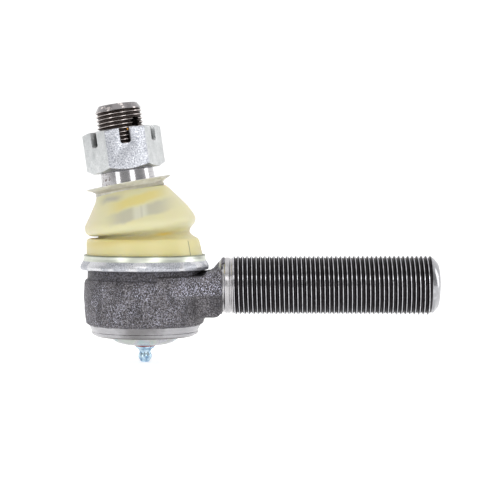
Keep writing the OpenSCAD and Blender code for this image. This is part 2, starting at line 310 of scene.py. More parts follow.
def coil(name, low, high, coil_r, turns, wire_r, around, sides):
    """A round wire along a helix about Z, its end turns closed down flat."""
    steps = int(turns * around)
    t = np.linspace(0, 1, steps + 1)
    flat = 0.75 / turns
    rise = np.clip((t - flat) / (1 - 2 * flat), 0, 1)
    turn = 2 * math.pi * turns * t[:, None]
    height = low + wire_r + (high - low - 2 * wire_r) * rise
    height = height + wire_r * 0.3 * (np.clip(t / flat, 0, 1) - np.clip((1 - t) / flat, 0, 1))
    b = np.linspace(0, 2 * math.pi, sides, endpoint=False)
    out = coil_r + wire_r * np.cos(b)
    up = height[:, None] + wire_r * np.sin(b)
    points = np.stack([out * np.cos(turn), out * np.sin(turn), up], -1)
    faces = grid_faces(steps + 1, sides, False)
    faces += [list(range(sides)), [steps * sides + k for k in range(sides)]]
    return make_piece(name, points.reshape(-1, 3), faces)


# ---------------------------------------------------------------- the forging, from its distance field
def polygon_distance(outline, u, v):
    """Signed distance from points (u, v) to a closed outline, negative inside."""
    outline = np.array(outline, float)
    nearest = np.full(u.shape, 1e9)
    inside = np.zeros(u.shape, bool)
    for (au, av), (bu, bv) in zip(outline, np.roll(outline, -1, 0)):
        eu, ev = bu - au, bv - av
        wu, wv = u - au, v - av
        t = np.clip((wu * eu + wv * ev) / (eu * eu + ev * ev), 0, 1)
        nearest = np.minimum(nearest, (wu - eu * t) ** 2 + (wv - ev * t) ** 2)
        crosses = (av > v) != (bv > v)
        with np.errstate(divide="ignore", invalid="ignore"):
            at = au + (v - av) / (bv - av) * eu
        inside ^= crosses & (u < at)
    return np.where(inside, -1, 1) * np.sqrt(nearest)


def smooth_min(a, b, k):
    """The lesser of a and b, with the corner between them filled to a radius of about k."""
    h = np.clip(0.5 + 0.5 * (b - a) / k, 0, 1)
    return b + (a - b) * h - k * h * (1 - h)


def lattice_noise(p, cell, seed):
    """Smooth random values from -1 to 1 at points p, from a random lattice of that cell size."""
    table = np.random.RandomState(seed).uniform(-1, 1, (32, 32, 32))
    q = p / cell
    base = np.floor(q).astype(int)
    f = q - base
    f = f * f * (3 - 2 * f)
    total = np.zeros(len(p))
    for corner in range(8):
        step = np.array([corner & 1, corner >> 1 & 1, corner >> 2 & 1])
        weight = np.prod(np.where(step, f, 1 - f), -1)
        i, j, k = ((base + step) % 32).T
        total += weight * table[i, j, k]
    return total


def surface_net(field, low, high, step):
    """Quads along the surface where field is zero, one point to each cell that it crosses."""
    axes = [np.arange(low[k], high[k] + step, step) for k in range(3)]
    where = np.stack(np.meshgrid(*axes, indexing="ij"), -1)
    value = field(where)
    cells = tuple(n - 1 for n in value.shape)
    total = np.zeros((*cells, 3))
    count = np.zeros(cells)
    crossings = []
    for axis in range(3):
        a = tuple(slice(None, -1) if k == axis else slice(None) for k in range(3))
        b = tuple(slice(1, None) if k == axis else slice(None) for k in range(3))
        va, vb = value[a], value[b]
        crossed = (va < 0) != (vb < 0)
        t = np.where(crossed, va / np.where(va == vb, 1, va - vb), 0)
        at = where[a] + t[..., None] * (where[b] - where[a])
        at[~crossed] = 0
        one, two = [k for k in range(3) if k != axis]
        for s in (0, 1):
            for u in (0, 1):
                part = [slice(None)] * 3
                part[one] = slice(s, s + cells[one])
                part[two] = slice(u, u + cells[two])
                total += at[tuple(part)]
                count += crossed[tuple(part)]
        crossings.append((crossed, va < 0))
    used = count > 0
    index = np.full(cells, -1)
    index[used] = np.arange(used.sum())
    points = total[used] / count[used][:, None]
    faces = []
    for axis, (crossed, starts_inside) in enumerate(crossings):
        one, two = (axis + 1) % 3, (axis + 2) % 3
        at = np.argwhere(crossed)
        keep = (at[:, one] > 0) & (at[:, two] > 0) & (at[:, one] < cells[one]) & (at[:, two] < cells[two])
        at = at[keep]
        flip = ~starts_inside[tuple(at.T)]
        corners = []
        for s, u in ((1, 1), (0, 1), (0, 0), (1, 0)):
            c = at.copy()
            c[:, one] -= s
            c[:, two] -= u
            corners.append(index[tuple(c.T)])
        quads = np.stack(corners, -1)
        quads[flip] = quads[flip][:, ::-1]
        faces.append(quads)
    faces = np.vstack(faces)
    return points, faces[(faces >= 0).all(1)]


def slope_of(field, p):
    """The field's unit gradient at points p."""
    steps = 0.05 * np.eye(3)
    found = np.stack([field(p + step) - field(p - step) for step in steps], -1)
    return found / np.maximum(np.linalg.norm(found, axis=-1, keepdims=True), 1e-9)


# ---------------------------------------------------------------- materials
def tinted(tone, share):
    """A colour made lighter or darker."""
    return tuple(min(1, c * share) for c in tone)


class Graph:
    """The nodes of a material or of the world.

    A value handed to a node is set on its socket, or linked if it is itself a socket."""

    def __init__(self, owner):
        self.owner = owner
        owner.use_nodes = True
        self.tree = owner.node_tree
        self.tree.nodes.clear()
        self.place = self.add("ShaderNodeTexCoord").outputs["Object"]

    def add(self, kind, inputs=None, **settings):
        node = self.tree.nodes.new(kind)
        for key, value in settings.items():
            setattr(node, key, value)
        for key, value in (inputs or {}).items():
            if isinstance(value, bpy.types.NodeSocket):
                self.tree.links.new(value, node.inputs[key])
            else:
                node.inputs[key].default_value = value
        return node

    def mapped(self, scale=(1, 1, 1), turn=(0, 0, 0), move_mm=(0, 0, 0), at=None):
        move = Vector(move_mm) * MM
        inputs = {"Vector": at or self.place, "Scale": scale, "Rotation": turn, "Location": move}
        return self.add("ShaderNodeMapping", inputs).outputs[0]

    def noise(self, size_mm, detail=2.0, roughness=0.5, at=None, distortion=0.0):
        inputs = {"Vector": at or self.place, "Scale": 1 / (size_mm * MM), "Detail": detail,
                  "Roughness": roughness, "Distortion": distortion}
        return self.add("ShaderNodeTexNoise", inputs).outputs["Fac"]

    def lines(self, size_mm, roughness=0.6, squeeze=0.05, at=None):
        """Fine lines round the Z axis, as a lathe's tool leaves them."""
        return self.noise(size_mm, 2, roughness, self.mapped((squeeze, squeeze, 1), at=at))

    def cells(self, size_mm, output="Distance"):
        inputs = {"Vector": self.place, "Scale": 1 / (size_mm * MM)}
        return self.add("ShaderNodeTexVoronoi", inputs, feature="F1").outputs[output]

    def math(self, operation, a, b=0.0, c=0.0):
        return self.add("ShaderNodeMath", {0: a, 1: b, 2: c}, operation=operation).outputs[0]

    def times(self, product, *factors):
        for factor in factors:
            product = self.math("MULTIPLY", product, factor)
        return product

    def away(self, value, middle):
        """How far a value is from the middle, on either side."""
        return self.math("ABSOLUTE", self.math("ADD", value, -middle))

    def span(self, value, low, high, to_low=0.0, to_high=1.0):
        inputs = {"Value": value, "From Min": low, "From Max": high, "To Min": to_low, "To Max": to_high}
        settings = {"clamp": True, "interpolation_type": "SMOOTHSTEP"}
        return self.add("ShaderNodeMapRange", inputs, **settings).outputs[0]

    def ramp(self, value, *stops):
        node = self.add("ShaderNodeValToRGB", {"Fac": value})
        elements = node.color_ramp.elements
        while len(elements) < len(stops):
            elements.new(0.5)
        for element, (at, colour) in zip(elements, stops):
            element.position = at
            element.color = (*colour, 1)
        return node.outputs["Color"]

    def mix(self, factor, a, b):
        node = self.add("ShaderNodeMix", data_type="RGBA", clamp_factor=True)
        for index, value in ((0, factor), (6, a), (7, b)):
            if isinstance(value, bpy.types.NodeSocket):
                self.tree.links.new(value, node.inputs[index])
            else:
                node.inputs[index].default_value = value if index == 0 else (*value, 1)
        return node.outputs[2]

    def bump(self, height, depth_mm, strength=1.0, under=None):
        inputs = {"Height": height, "Distance": depth_mm * MM, "Strength": strength}
        if under is not None:
            inputs["Normal"] = under
        return self.add("ShaderNodeBump", inputs).outputs[0]

    def axes(self, at=None):
        return self.add("ShaderNodeSeparateXYZ", {0: at or self.place}).outputs

    def radius(self, x, y):
        return self.math("SQRT", self.math("MULTIPLY_ADD", x, x, self.math("MULTIPLY", y, y)))

    def finish(self, colour, metallic, roughness, normal=None, **others):
        """The material with a surface of these inputs. The names of others have _ for each space."""
        inputs = {"Base Color": colour, "Metallic": metallic, "Roughness": roughness}
        inputs.update({key.replace("_", " "): value for key, value in others.items()})
        if normal is not None:
            inputs["Normal"] = normal
        shader = self.add("ShaderNodeBsdfPrincipled", inputs)
        self.add("ShaderNodeOutputMaterial", {"Surface": shader.outputs[0]})
        return self.owner


def new_material(name):
    """The graph of a new, empty material."""
    return Graph(bpy.data.materials.new(name))


def along_stud_coordinates(g):
    """Coordinates whose Z runs up the stud."""
    return g.mapped(turn=(0, STUD_TILT, 0))


def along_shank_coordinates(g):
    """Coordinates whose Z runs along the shank."""
    return g.mapped(turn=(0, -math.pi / 2, 0), at=g.mapped(move_mm=(0, 0, -SHANK_Z)))


def forged_steel():
    """Shot-blasted forging: dark grey with pale specks; painted glints crowd the specks over the top of the neck,
    painted shade thins them under it, and painted shade blackens it under the ring.
    """
    g = new_material("forged_steel")
    x, y, z = g.axes()
    grain = g.noise(0.62, 3, 0.75)
    specks = g.span(g.noise(0.5, 2, 0.6), 0.54, 0.63)
    # painted glints: more pale specks over the neck's top, which faces up; painted shade: fewer specks under the
    # parting line. There are also fewer specks towards the body's top.
    painted_glints_neck_top = g.times(g.span(x, 0.012, 0.019), g.span(z, 0.0006, 0.0022))
    painted_shade_neck_low = g.times(g.span(x, 0.016, 0.026), g.span(z, 0.0022, 0.0010))
    patches = g.span(g.noise(8, 3, 0.6), 0.42, 0.62, 0.25, 0.60)
    amount = g.math("MULTIPLY_ADD", painted_glints_neck_top, 0.75, patches)
    amount = g.times(amount, g.span(z, 0.0055, 0.0085, 1.0, 0.6), g.span(painted_shade_neck_low, 0.0, 1.0, 1.0, 0.25))
    dark, middle, light = (0.010, 0.009, 0.010), (0.085, 0.078, 0.083), (0.26, 0.25, 0.265)
    base = g.ramp(grain, (0.36, dark), (0.5, middle), (0.64, light))
    rust = g.span(g.noise(3.8, 2, 0.5, at=g.mapped(move_mm=(40, 9, 3))), 0.60, 0.74, 0.0, 0.35)
    base = g.mix(rust, base, (0.055, 0.036, 0.026))
    dull = g.noise(6, 2, 0.5, at=g.mapped(scale=(1, 1, 0.5), move_mm=(3, 0, 8)))
    base = g.mix(g.span(dull, 0.46, 0.60, 0.0, 0.5), base, (0.030, 0.028, 0.031))
    colour = g.mix(g.times(specks, amount), base, (0.66, 0.66, 0.80))
    # painted shade: near black on the neck's top under the ring's flange
    painted_shade_under_ring = g.times(g.span(g.radius(x, y), 0.0314, 0.0304), g.span(z, 0.0096, 0.0108), 0.92)
    colour = g.mix(painted_shade_under_ring, colour, (0.004, 0.004, 0.004))
    normal = g.bump(g.noise(0.7, 4, 0.7), 0.26, 1.0, g.bump(g.cells(1.1), 0.14, 0.8))
    rough = g.span(grain, 0.3, 0.7, 0.64, 0.44)
    return g.finish(colour, 0.5, rough, normal, Specular_IOR_Level=0.4)


def turned_steel_painted_shade():
    """The shoulder turned on the forging: finer, with the tool's lines round it, and darker with painted shade
    from the ring's flange above it.
    """
    g = new_material("turned_steel_painted_shade")
    lines = g.lines(0.4)
    grain = g.noise(0.8, 3, 0.75)
    specks = g.span(g.noise(0.66, 2, 0.6), 0.56, 0.66, 0, 0.35)
    # painted shade: this darker ramp stands for the ring flange's shadow on the band
    base = g.ramp(grain, (0.38, (0.008, 0.007, 0.008)), (0.64, (0.115, 0.11, 0.122)))
    colour = g.mix(specks, base, (0.32, 0.32, 0.42))
    normal = g.bump(grain, 0.14, 0.8, g.bump(lines, 0.07, 0.5))
    rough = g.span(lines, 0.3, 0.7, 0.40, 0.56)
    return g.finish(colour, 0.55, rough, normal)


def collar_steel():
    """Bare turned steel, with the tool's fine lines round the shank's axis."""
    g = new_material("collar_steel")
    tone, roughness = (0.50, 0.49, 0.50), 0.26
    lines = g.noise(0.3, 2, 0.6, at=g.mapped(scale=(1, 0.04, 0.04)))
    lined = g.ramp(lines, (0.3, tinted(tone, 0.72)), (0.7, tinted(tone, 1.15)))
    colour = g.mix(g.span(g.noise(4, 3, 0.6), 0.35, 0.65), lined, tone)
    rough = g.span(lines, 0.3, 0.7, roughness * 1.25, roughness * 0.8)
    return g.finish(colour, 1.0, rough, g.bump(lines, 0.05, 0.4))


def rim_steel():
    """The rolled rim, with the roller's lines round it, painted reflections in soft bands round it, and painted
    shade along its bottom edge.
    """
    g = new_material("rim_steel")
    x, y, z = g.axes()
    lines = g.lines(0.35)
    # painted reflections: four soft light and dark bands round the rim
    turn = g.math("ARCTAN2", x, g.times(y, -1.0))
    swept = g.math("MULTIPLY_ADD", turn, 4.0, g.span(g.noise(12, 2, 0.5), 0.3, 0.7, -0.7, 0.7))
    painted_reflection_band = g.span(g.math("COSINE", swept), -0.6, 1.0)
    colour = g.mix(painted_reflection_band, (0.46, 0.455, 0.475), (0.21, 0.205, 0.21))
    colour = g.mix(g.span(lines, 0.35, 0.65, 0.0, 0.25), colour, (0.22, 0.21, 0.21))
    # painted shade: darker along the rim's rounded bottom edge
    painted_shade_rim_bottom = g.times(g.span(z, -0.0174, -0.0179), g.span(g.radius(x, y), 0.0190, 0.0200), 0.8)
    colour = g.mix(painted_shade_rim_bottom, colour, (0.07, 0.055, 0.05))
    rough = g.span(lines, 0.3, 0.7, 0.30, 0.22)
    return g.finish(colour, 1.0, rough, g.bump(lines, 0.05, 0.4))


def threaded_steel(name, crest, groove, bright_r, dark_r, along, end, end_tone, spots, roughness):
    """A cut thread whose crests are worn bright and whose grooves stay dark.

    along gives place on the axis. Past end on it the chamfer has end_tone, with worn spots on it."""
    g = new_material(name)
    x, y, z = g.axes(along(g))
    stain = g.noise(1.0, 3, 0.65)
    worn = g.math("ADD", g.radius(x, y), g.span(stain, 0.3, 0.7, -0.00010, 0.00010))
    share = g.span(worn, dark_r * MM, bright_r * MM)
    past = g.span(z, (end - 0.1) * MM, (end + 0.2) * MM)
    deep = g.mix(g.span(stain, 0.35, 0.7), groove, tinted(groove, 2.2))
    bright = g.mix(g.span(stain, 0.3, 0.7), tinted(crest, 0.8), tinted(crest, 1.1))
    spotted = g.span(g.noise(2.2, 3, 0.6), 0.55, 0.62, 0.0, spots)
    chamfer = g.mix(spotted, end_tone, tinted(crest, 1.15))
    colour = g.mix(past, g.mix(share, deep, bright), chamfer)
    normal = g.bump(g.noise(0.3, 2, 0.6), 0.035, 0.6)
    rough = g.span(g.math("MAXIMUM", share, past), 0.0, 1.0, 0.42, roughness)
    return g.finish(colour, 0.95, rough, normal)


def stud_taper_steel():
    """Ground steel, nearly a mirror, with a few dark stains."""
    g = new_material("stud_ground_steel")
    at = along_stud_coordinates(g)
    lines = g.lines(0.3, 0.5, 0.06, at)
    clean = g.ramp(lines, (0.3, (0.42, 0.41, 0.42)), (0.7, (0.56, 0.55, 0.56)))
    stain = g.times(g.span(g.noise(1.6, 2, 0.5), 0.54, 0.62), g.span(g.axes(at)["X"], -0.0060, -0.0085))
    colour = g.mix(stain, clean, (0.20, 0.17, 0.16))
    rough = g.span(lines, 0.3, 0.7, 0.2, 0.13)
    return g.finish(colour, 1.0, rough, g.bump(lines, 0.004, 0.1))


def nut_zinc():
    """Zinc plating over a coarse grain, with painted glints that speckle the front face more than the sides, and
    painted shade in the bore and deep in the slots.
    """
    g = new_material("zinc_nut")
    x, y, z = g.axes(along_stud_coordinates(g))
    grain = g.noise(0.56, 3, 0.75)
    dark, middle, light = (0.13, 0.14, 0.18), (0.38, 0.39, 0.43), (0.62, 0.63, 0.67)
    # painted glints: this light and dark speckle stands for glints, kept mostly to the front face; the side faces
    # get the plainer smooth tone instead, a painted difference in light between faces
    painted_glint_speckle = g.ramp(grain, (0.36, dark), (0.5, middle), (0.62, light))
    smooth = g.ramp(g.noise(4, 3, 0.6), (0.3, (0.52, 0.54, 0.53)), (0.7, (0.70, 0.71, 0.70)))
    side = g.span(g.away(x, 0.0030), 0.0088, 0.0096)
    plating_and_painted_glints = g.mix(g.span(side, 0, 1, 0.12, 0.72), painted_glint_speckle, smooth)
    # painted shade: darker in the bore and deep in the slots
    deep = g.times(
        g.span(g.radius(x, y), 0.0150, 0.0128), g.span(z, 0.0798, 0.0790), g.span(z, 0.0607, 0.0612)
    )
    colour = g.mix(deep, plating_and_painted_glints, (0.045, 0.050, 0.046))
    normal = g.bump(g.mix(0.5, grain, g.cells(0.8, "Color")), 0.10, 0.9)
    rough = g.span(grain, 0.3, 0.7, 0.42, 0.26)
    metallic = g.span(deep, 0, 1, 0.85, 0.4)
    return g.finish(colour, metallic, rough, normal)


def ring_zinc():
    """Zinc on the boot's ring: a greenish cream band above, and a matte, granular flange below."""
    g = new_material("ring_zinc")
    z = g.axes()["Z"]
    flange = g.span(z, 0.0176, 0.0172)
    grain = g.noise(0.5, 3, 0.7)
    cream = g.ramp(g.noise(7, 2, 0.5), (0.3, (0.58, 0.60, 0.51)), (0.7, (0.68, 0.71, 0.64)))
    cream = g.mix(g.span(z, 0.0196, 0.0199), cream, (0.22, 0.24, 0.18))
    granular = g.ramp(grain, (0.32, (0.22, 0.23, 0.26)), (0.68, (0.66, 0.67, 0.71)))
    worn = g.span(g.noise(9, 2, 0.5, at=g.mapped(move_mm=(6, 4, 0))), 0.46, 0.58)
    granular = g.mix(g.span(worn, 0, 1, 0, 0.8), granular, (0.64, 0.64, 0.66))
    colour = g.mix(flange, cream, granular)
    rough = g.math("MULTIPLY_ADD", flange, g.span(worn, 0, 1, 0.12, -0.08), 0.34)
    normal = g.bump(grain, 0.03, g.span(flange, 0, 1, 0.2, 0.4))
    return g.finish(colour, 0.9, rough, normal)


def cap_zinc():
    """Clear passivated zinc on the cap's dome, with the faint colours of a thin film."""
    g = new_material("cap_zinc")
    film = g.noise(6, 2, 0.5, distortion=0.6)
    colour = g.ramp(
        film, (0.2, (0.36, 0.47, 0.52)), (0.42, (0.50, 0.53, 0.49)), (0.56, (0.50, 0.49, 0.53)),
        (0.75, (0.40, 0.50, 0.51)),
    )
    rough = g.span(film, 0.3, 0.7, 0.34, 0.24)
    normal = g.bump(g.lines(0.5, 0.5), 0.04, 0.3)
    return g.finish(colour, 0.85, rough, normal)


def blue_zinc():
    """Blue passivated zinc on the grease fitting."""
    g = new_material("blue_zinc")
    film = g.noise(2.2, 2, 0.5)
    colour = g.ramp(film, (0.32, (0.20, 0.33, 0.50)), (0.5, (0.48, 0.64, 0.76)), (0.68, (0.64, 0.78, 0.87)))
    rough = g.span(film, 0.3, 0.7, 0.16, 0.26)
    return g.finish(colour, 0.9, rough, g.bump(g.noise(0.4), 0.02, 0.4))


def plain_stuff(name, tone, metallic, roughness, grain_mm, depth_mm):
    """A surface that varies a little in colour, roughness and height, for the small and hidden pieces."""
    g = new_material(name)
    grain = g.noise(grain_mm, 3, 0.6)
    colour = g.mix(g.span(grain, 0.3, 0.7), tinted(tone, 0.75), tinted(tone, 1.12))
    rough = g.span(grain, 0.3, 0.7, roughness * 0.85, min(1, roughness * 1.15))
    return g.finish(colour, metallic, rough, g.bump(grain, depth_mm, 0.5))


# the moulding seam is on the shank's side, this far round towards the front
SEAM_TURN = math.radians(34.5)


def boot_polyurethane():
    """Milky yellow polyurethane: deeper where it is thick, greyer where the stud shows through, with a painted
    highlight down the grey.
    """
    g = new_material("boot_polyurethane")
    at = along_stud_coordinates(g)
    x, _, z = g.axes(at)
    height = g.math("ADD", z, g.span(g.noise(8, 3, 0.55, at=at), 0.3, 0.7, -0.0005, 0.0005))
    deep, grey = (0.82, 0.67, 0.22), (0.52, 0.51, 0.43)
    # painted highlight: a lighter band down the grey where the stud shows through, with a thin grey line beside it
    show_through_painted_highlight = g.mix(g.span(g.away(x, 0.0055), 0.0044, 0.0018), grey, (0.74, 0.73, 0.63))
    show_through_painted_highlight = g.mix(g.span(g.away(x, 0.0062), 0.0008, 0.0002, 0.0, 0.5), show_through_painted_highlight, grey)
    # what shows through, in strips between two heights that climb by slope and two places across:
    # (slope, low, high, left, right, softness of its heights and of its ends, strength, colour)
    strips = [
        (0.15, 0.0366, 0.0420, -0.008, 0.018, 0.0011, 0.006, 0.75, show_through_painted_highlight),
        (0.20, 0.0428, 0.0472, -0.006, 0.016, 0.0011, 0.005, 0.8, deep),
        (0.10, 0.0476, 0.0502, -0.012, -0.003, 0.0014, 0.003, 0.7, (0.42, 0.41, 0.40)),
        (0.0, 0.0268, 0.0300, -0.030, 0.030, 0.0016, 0.003, 0.7, (0.66, 0.54, 0.20)),
        (-0.05, 0.0288, 0.0302, 0.0115, 0.0180, 0.0008, 0.003, 1.0, (0.86, 0.60, 0.12)),
        (-0.14, 0.0190, 0.0208, -0.030, 0.030, 0.0020, 0.003, 0.5, deep),
    ]
    colour = g.mix(g.span(x, -0.010, -0.020, 0.0, 0.55), (0.82, 0.76, 0.46), (0.80, 0.70, 0.48))
    for slope, low, high, left, right, soft, fade, strength, tone in strips:
        level = g.math("MULTIPLY_ADD", x, -slope, height)
        strip = g.times(g.span(level, low - soft, low + soft), g.span(level, high + soft, high - soft))
        ends = g.times(g.span(x, left - fade, left + fade), g.span(x, right + fade, right - fade))
        colour = g.mix(g.times(strip, ends, strength), colour, tone)
    facing = g.add("ShaderNodeLayerWeight", {"Blend": 0.3}).outputs["Facing"]
    colour = g.mix(g.span(facing, 0.45, 0.95, 0.0, 0.5), colour, (0.82, 0.62, 0.36))
    across, along, up = g.axes()
    colour = g.mix(g.span(up, 0.0292, 0.0276, 0.0, 0.5), colour, (0.80, 0.67, 0.26))
    off_seam = g.math("MULTIPLY_ADD", across, math.sin(SEAM_TURN), g.times(along, math.cos(SEAM_TURN)))
    seam = g.times(
        g.span(g.math("ABSOLUTE", off_seam), 0.0004, 0.0001), g.span(up, 0.0275, 0.0268),
        g.span(across, 0.0, 0.001, 0.0, 0.7),
    )
    colour = g.mix(seam, colour, (0.10, 0.08, 0.03))
    normal = g.bump(g.noise(1.7, 3, 0.5), 0.07, 0.35, g.bump(seam, 0.3, 0.5))
    rough = g.span(g.noise(3.6, 2, 0.5), 0.3, 0.7, 0.30, 0.44)
    return g.finish(
        colour, 0.0, rough, normal, IOR=1.5, Transmission_Weight=0.25,
        Subsurface_Weight=0.6, Subsurface_Radius=(1.0, 0.8, 0.35), Subsurface_Scale=0.004,
    )


def lip_polyurethane():
    """The frosted lip and neck over the stud's taper, with painted shade on the neck under the lip."""
    g = new_material("lip_polyurethane")
    at = along_stud_coordinates(g)
    z = g.axes(at)["Z"]
    cloud = g.noise(2.6, 3, 0.6)
    streak = g.noise(3.0, 3, 0.65, at=g.mapped((0.3, 0.3, 1), at=at))
    colour = g.ramp(cloud, (0.3, (0.58, 0.56, 0.47)), (0.7, (0.80, 0.78, 0.70)))
    colour = g.mix(g.span(streak, 0.5, 0.62, 0, 0.6), colour, (0.42, 0.41, 0.37))
    # painted shade: a darker band on the neck just under the lip's flare
    under = g.times(g.span(z, 0.0512, 0.0516), g.span(z, 0.0530, 0.0522), 0.5)
    colour = g.mix(under, colour, (0.30, 0.25, 0.14))
    rough = g.span(cloud, 0.3, 0.7, 0.42, 0.55)
    return g.finish(
        colour, 0.0, rough, g.bump(cloud, 0.1, 0.3), IOR=1.5, Transmission_Weight=0.3,
        Subsurface_Weight=0.5, Subsurface_Radius=(1.0, 0.9, 0.6), Subsurface_Scale=0.003,
    )


def dress(piece, body, slot, material, *nodes):
    """Gives a finished piece its material and body, and hides the CAD nodes that it stands for. The slot argument
    is not used.

    A body is a name, or, for a piece meant to bend, a tuple (near body, far body, start, end) whose entries are
    not used: that piece only has its transform baked."""
    piece.data.materials.clear()
    piece.data.materials.append(material)
    if isinstance(body, tuple):
        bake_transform(piece)
    else:
        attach(piece, body)
    if nodes:
        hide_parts(*nodes)


# ---------------------------------------------------------------- socket
CAP_SEAT_Z = -14.2
CAP_FLANGE_Z = -16.6
CAP_FLANGE_R = 22.0
BORE_R = 21.4
BORE_TOP_Z = 3.6
SHOULDER_Z = RING_LOW[2] - 0.01
BOSS_R = 23.5
BOSS_Z = 19.9
THROAT = (15.8, 11.5)
MOUTH_R = 19.5
RIM_HOLE_R = 16.8
RIM_Z = SOCKET_LOW[2]
PARTING_Z = 1.7
RIDGE_H = 0.14
NECK_START_X = 9
NECK_END_X = 36.4
NECK_TOP_Z = 12.6
NECK_BOTTOM_Z = -9.2
NECK_HALF_W = 14.3
NECK_DRAFT = 0.17
SOCKET_PLAN_R = 27.1
# the forging stays below this height inside this radius, to clear the boot's ring
CLEAR_Z = 12.7
CLEAR_R = 31.2
CORE_R = 22.2
CORE_TOP_Z = 10.8
COLLAR_R = 13.2

# the forging turned on its axis, from the axis out; its top stays under the turned shoulder
FORGED_OUTLINE = [
    (-11, -15.0), (24.6, -15.0), (26.5, -12.95), (27.8, -12.0), (28.5, -6.1), (28.85, PARTING_Z),
    (28.6, 7.0), (27.9, 8.6), (26.9, 8.9), (26.9, CLEAR_Z), (-11, CLEAR_Z),
]
# the shank's flare out of the neck, about the shank's axis: (x, radius)
FLARE_OUTLINE = [(14.4, -11), (14.4, -2.4), (30.6, 6.0), (36.9, 13.3), (37.8, 13.3), (37.8, -11)]


def forging_field(p):
    """Signed distance to the forging at points p."""
    x, y, z = p[..., 0], p[..., 1], p[..., 2]
    r = np.hypot(x, y)
    body = polygon_distance(FORGED_OUTLINE, r, z)
    half_width = NECK_HALF_W - NECK_DRAFT * np.abs(z - PARTING_Z)
    arm = np.maximum(np.abs(y) - half_width, x - NECK_END_X)
    plan = np.maximum(smooth_min(r - SOCKET_PLAN_R, arm, 7), NECK_START_X - x)
    slab = np.maximum(z - NECK_TOP_Z, NECK_BOTTOM_Z - z)
    neck = -smooth_min(-plan, -slab, 3.8)
    flare = polygon_distance(FLARE_OUTLINE, x, np.hypot(y, z - SHANK_Z))
    swept_back = 1.6 * np.clip((z - SHANK_Z) / 12, 0, 1) ** 2
    flare = np.maximum(flare, x - NECK_END_X - swept_back)
    solid = smooth_min(body, smooth_min(neck, flare, 1.9), 2.6)
    ridge = RIDGE_H * np.exp(-(((z - PARTING_Z) / 0.42) ** 2)) * np.clip((x - 14) / 7, 0, 1)
    crown = 0.012 * np.minimum(np.abs(y), 12.5) ** 2
    solid = np.maximum(solid - ridge, np.minimum(z - CLEAR_Z + crown, CLEAR_R - r))
    return np.maximum(solid, -np.maximum(r - CORE_R, z - CORE_TOP_Z))


def socket_forging():
    low, high, step = (-30.3, -30.3, -15.7), (39.1, 30.3, 20.3), 0.54
    points, faces = surface_net(forging_field, low, high, step)
    for _ in range(3):
        points = points - slope_of(forging_field, points) * forging_field(points)[:, None]
    outer = np.clip((np.hypot(points[:, 0], points[:, 1]) - 23) / 3.5, 0, 1)
    lumps = 0.11 * lattice_noise(points, 3.7, 5) + 0.06 * lattice_noise(points, 1.3, 6)
    points = points + slope_of(forging_field, points) * (lumps * outer)[:, None]
    return make_piece("socket_forging", points, faces.tolist(), sharp_deg=50)


def socket_shoulder():
    """The turned shoulder and boss, the throat and the bore that the bearings run in."""
    outline = [
        (22.5, CAP_SEAT_Z), (22.5, 8.2), (27.15, 8.2), (27.0, SHOULDER_Z, 0.3), (BOSS_R, SHOULDER_Z),
        (BOSS_R, BOSS_Z, 0.5), (MOUTH_R, BOSS_Z, 0.4), (*THROAT, 1), (BORE_R, BORE_TOP_Z, 0.6),
        (BORE_R, -12.3),
    ]
    return revolve("socket_shoulder", filleted(outline), segments=192)


def socket_rim():
    """The turned rim, rolled in over the cap, with its fine groove."""
    outline = [
        (CAP_FLANGE_R, -14.3), (25.2, -13.6), (26.3, -12.8), (26.6, -12.75, 0.2), (25.8, -14.3),
        (25.4, -15.1, 0.3), (25.1, -15.6), (25.1, -15.95), (25.3, -16.2), (25.1, -17.1, 0.7),
        (23.0, RIM_Z, 1.1), (RIM_HOLE_R + 0.6, RIM_Z, 0.3), (RIM_HOLE_R, RIM_Z + 0.5),
        (RIM_HOLE_R, CAP_FLANGE_Z), (CAP_FLANGE_R, CAP_FLANGE_Z),
    ]
    return revolve("socket_rim", filleted(outline), segments=192)


def shank_collar():
    """The turned collar between the forging and the thread, with the relief beside it."""
    start = THREAD_START_X
    outline = [
        (0, 33), (6, 33), (11.6, 35.4), (COLLAR_R - 0.6, 36.2, 0.4), (COLLAR_R - 0.35, 37.9, 0.3),
        (COLLAR_R, 38.4, 0.3), (COLLAR_R, start - 1.8, 0.4), (COLLAR_R - 0.4, start - 1.3, 0.2),
        (COLLAR_R - 0.4, start - 0.9, 0.2), (COLLAR_R, start - 0.5, 0.1), (COLLAR_R, start + 0.2),
        (0, start + 0.2),
    ]
    return revolve("shank_collar", filleted(outline, 3), ALONG_SHANK, closed=False)


def shank_thread():
    """The 1 1/8-12 thread, cut right-hand, with the chamfered and slightly crowned end."""
    chamfer_x = THREAD_END_X - 0.4

    def envelope(x):
        return SHANK_R - np.clip((x - chamfer_x) * 0.8, 0, None), np.ones_like(x)

    rounding = [(1.2, -1.0), (3.3, -3.2), (3.8, -4.3), (4.5, -8.0)]
    stations = [(THREAD_END_X + x, SHANK_R + r) for x, r in rounding]
    stations += [(TIP_X - 0.14, 2.6), (TIP_X, 0.7)]
    return threaded_bar(
        "shank_thread", ALONG_SHANK, SHANK_PITCH, SHANK_R, THREAD_START_X, THREAD_END_X, envelope, stations
    )


# ---------------------------------------------------------------- stud and nut
BALL_R = 16.2
BALL_FLAT = 11.4
STUD_NECK_R = 9.6
STUD_TIP = 92.0
COTTER_AT = Vector(mounts["cotter_hole"]["pos_m"]).length / MM
COTTER_TURN = math.radians(-41)
NUT_AF = 32.3
NUT_H = 19.4
NUT_SLOT_W = 4.9
NUT_SLOT_DEPTH = 7.3
NUT_SLOT_CORNER = 1.3
NUT_TURN = math.radians(10.5)
PAINT_AT = 79.3
PAINT_TURN = math.radians(21.5)
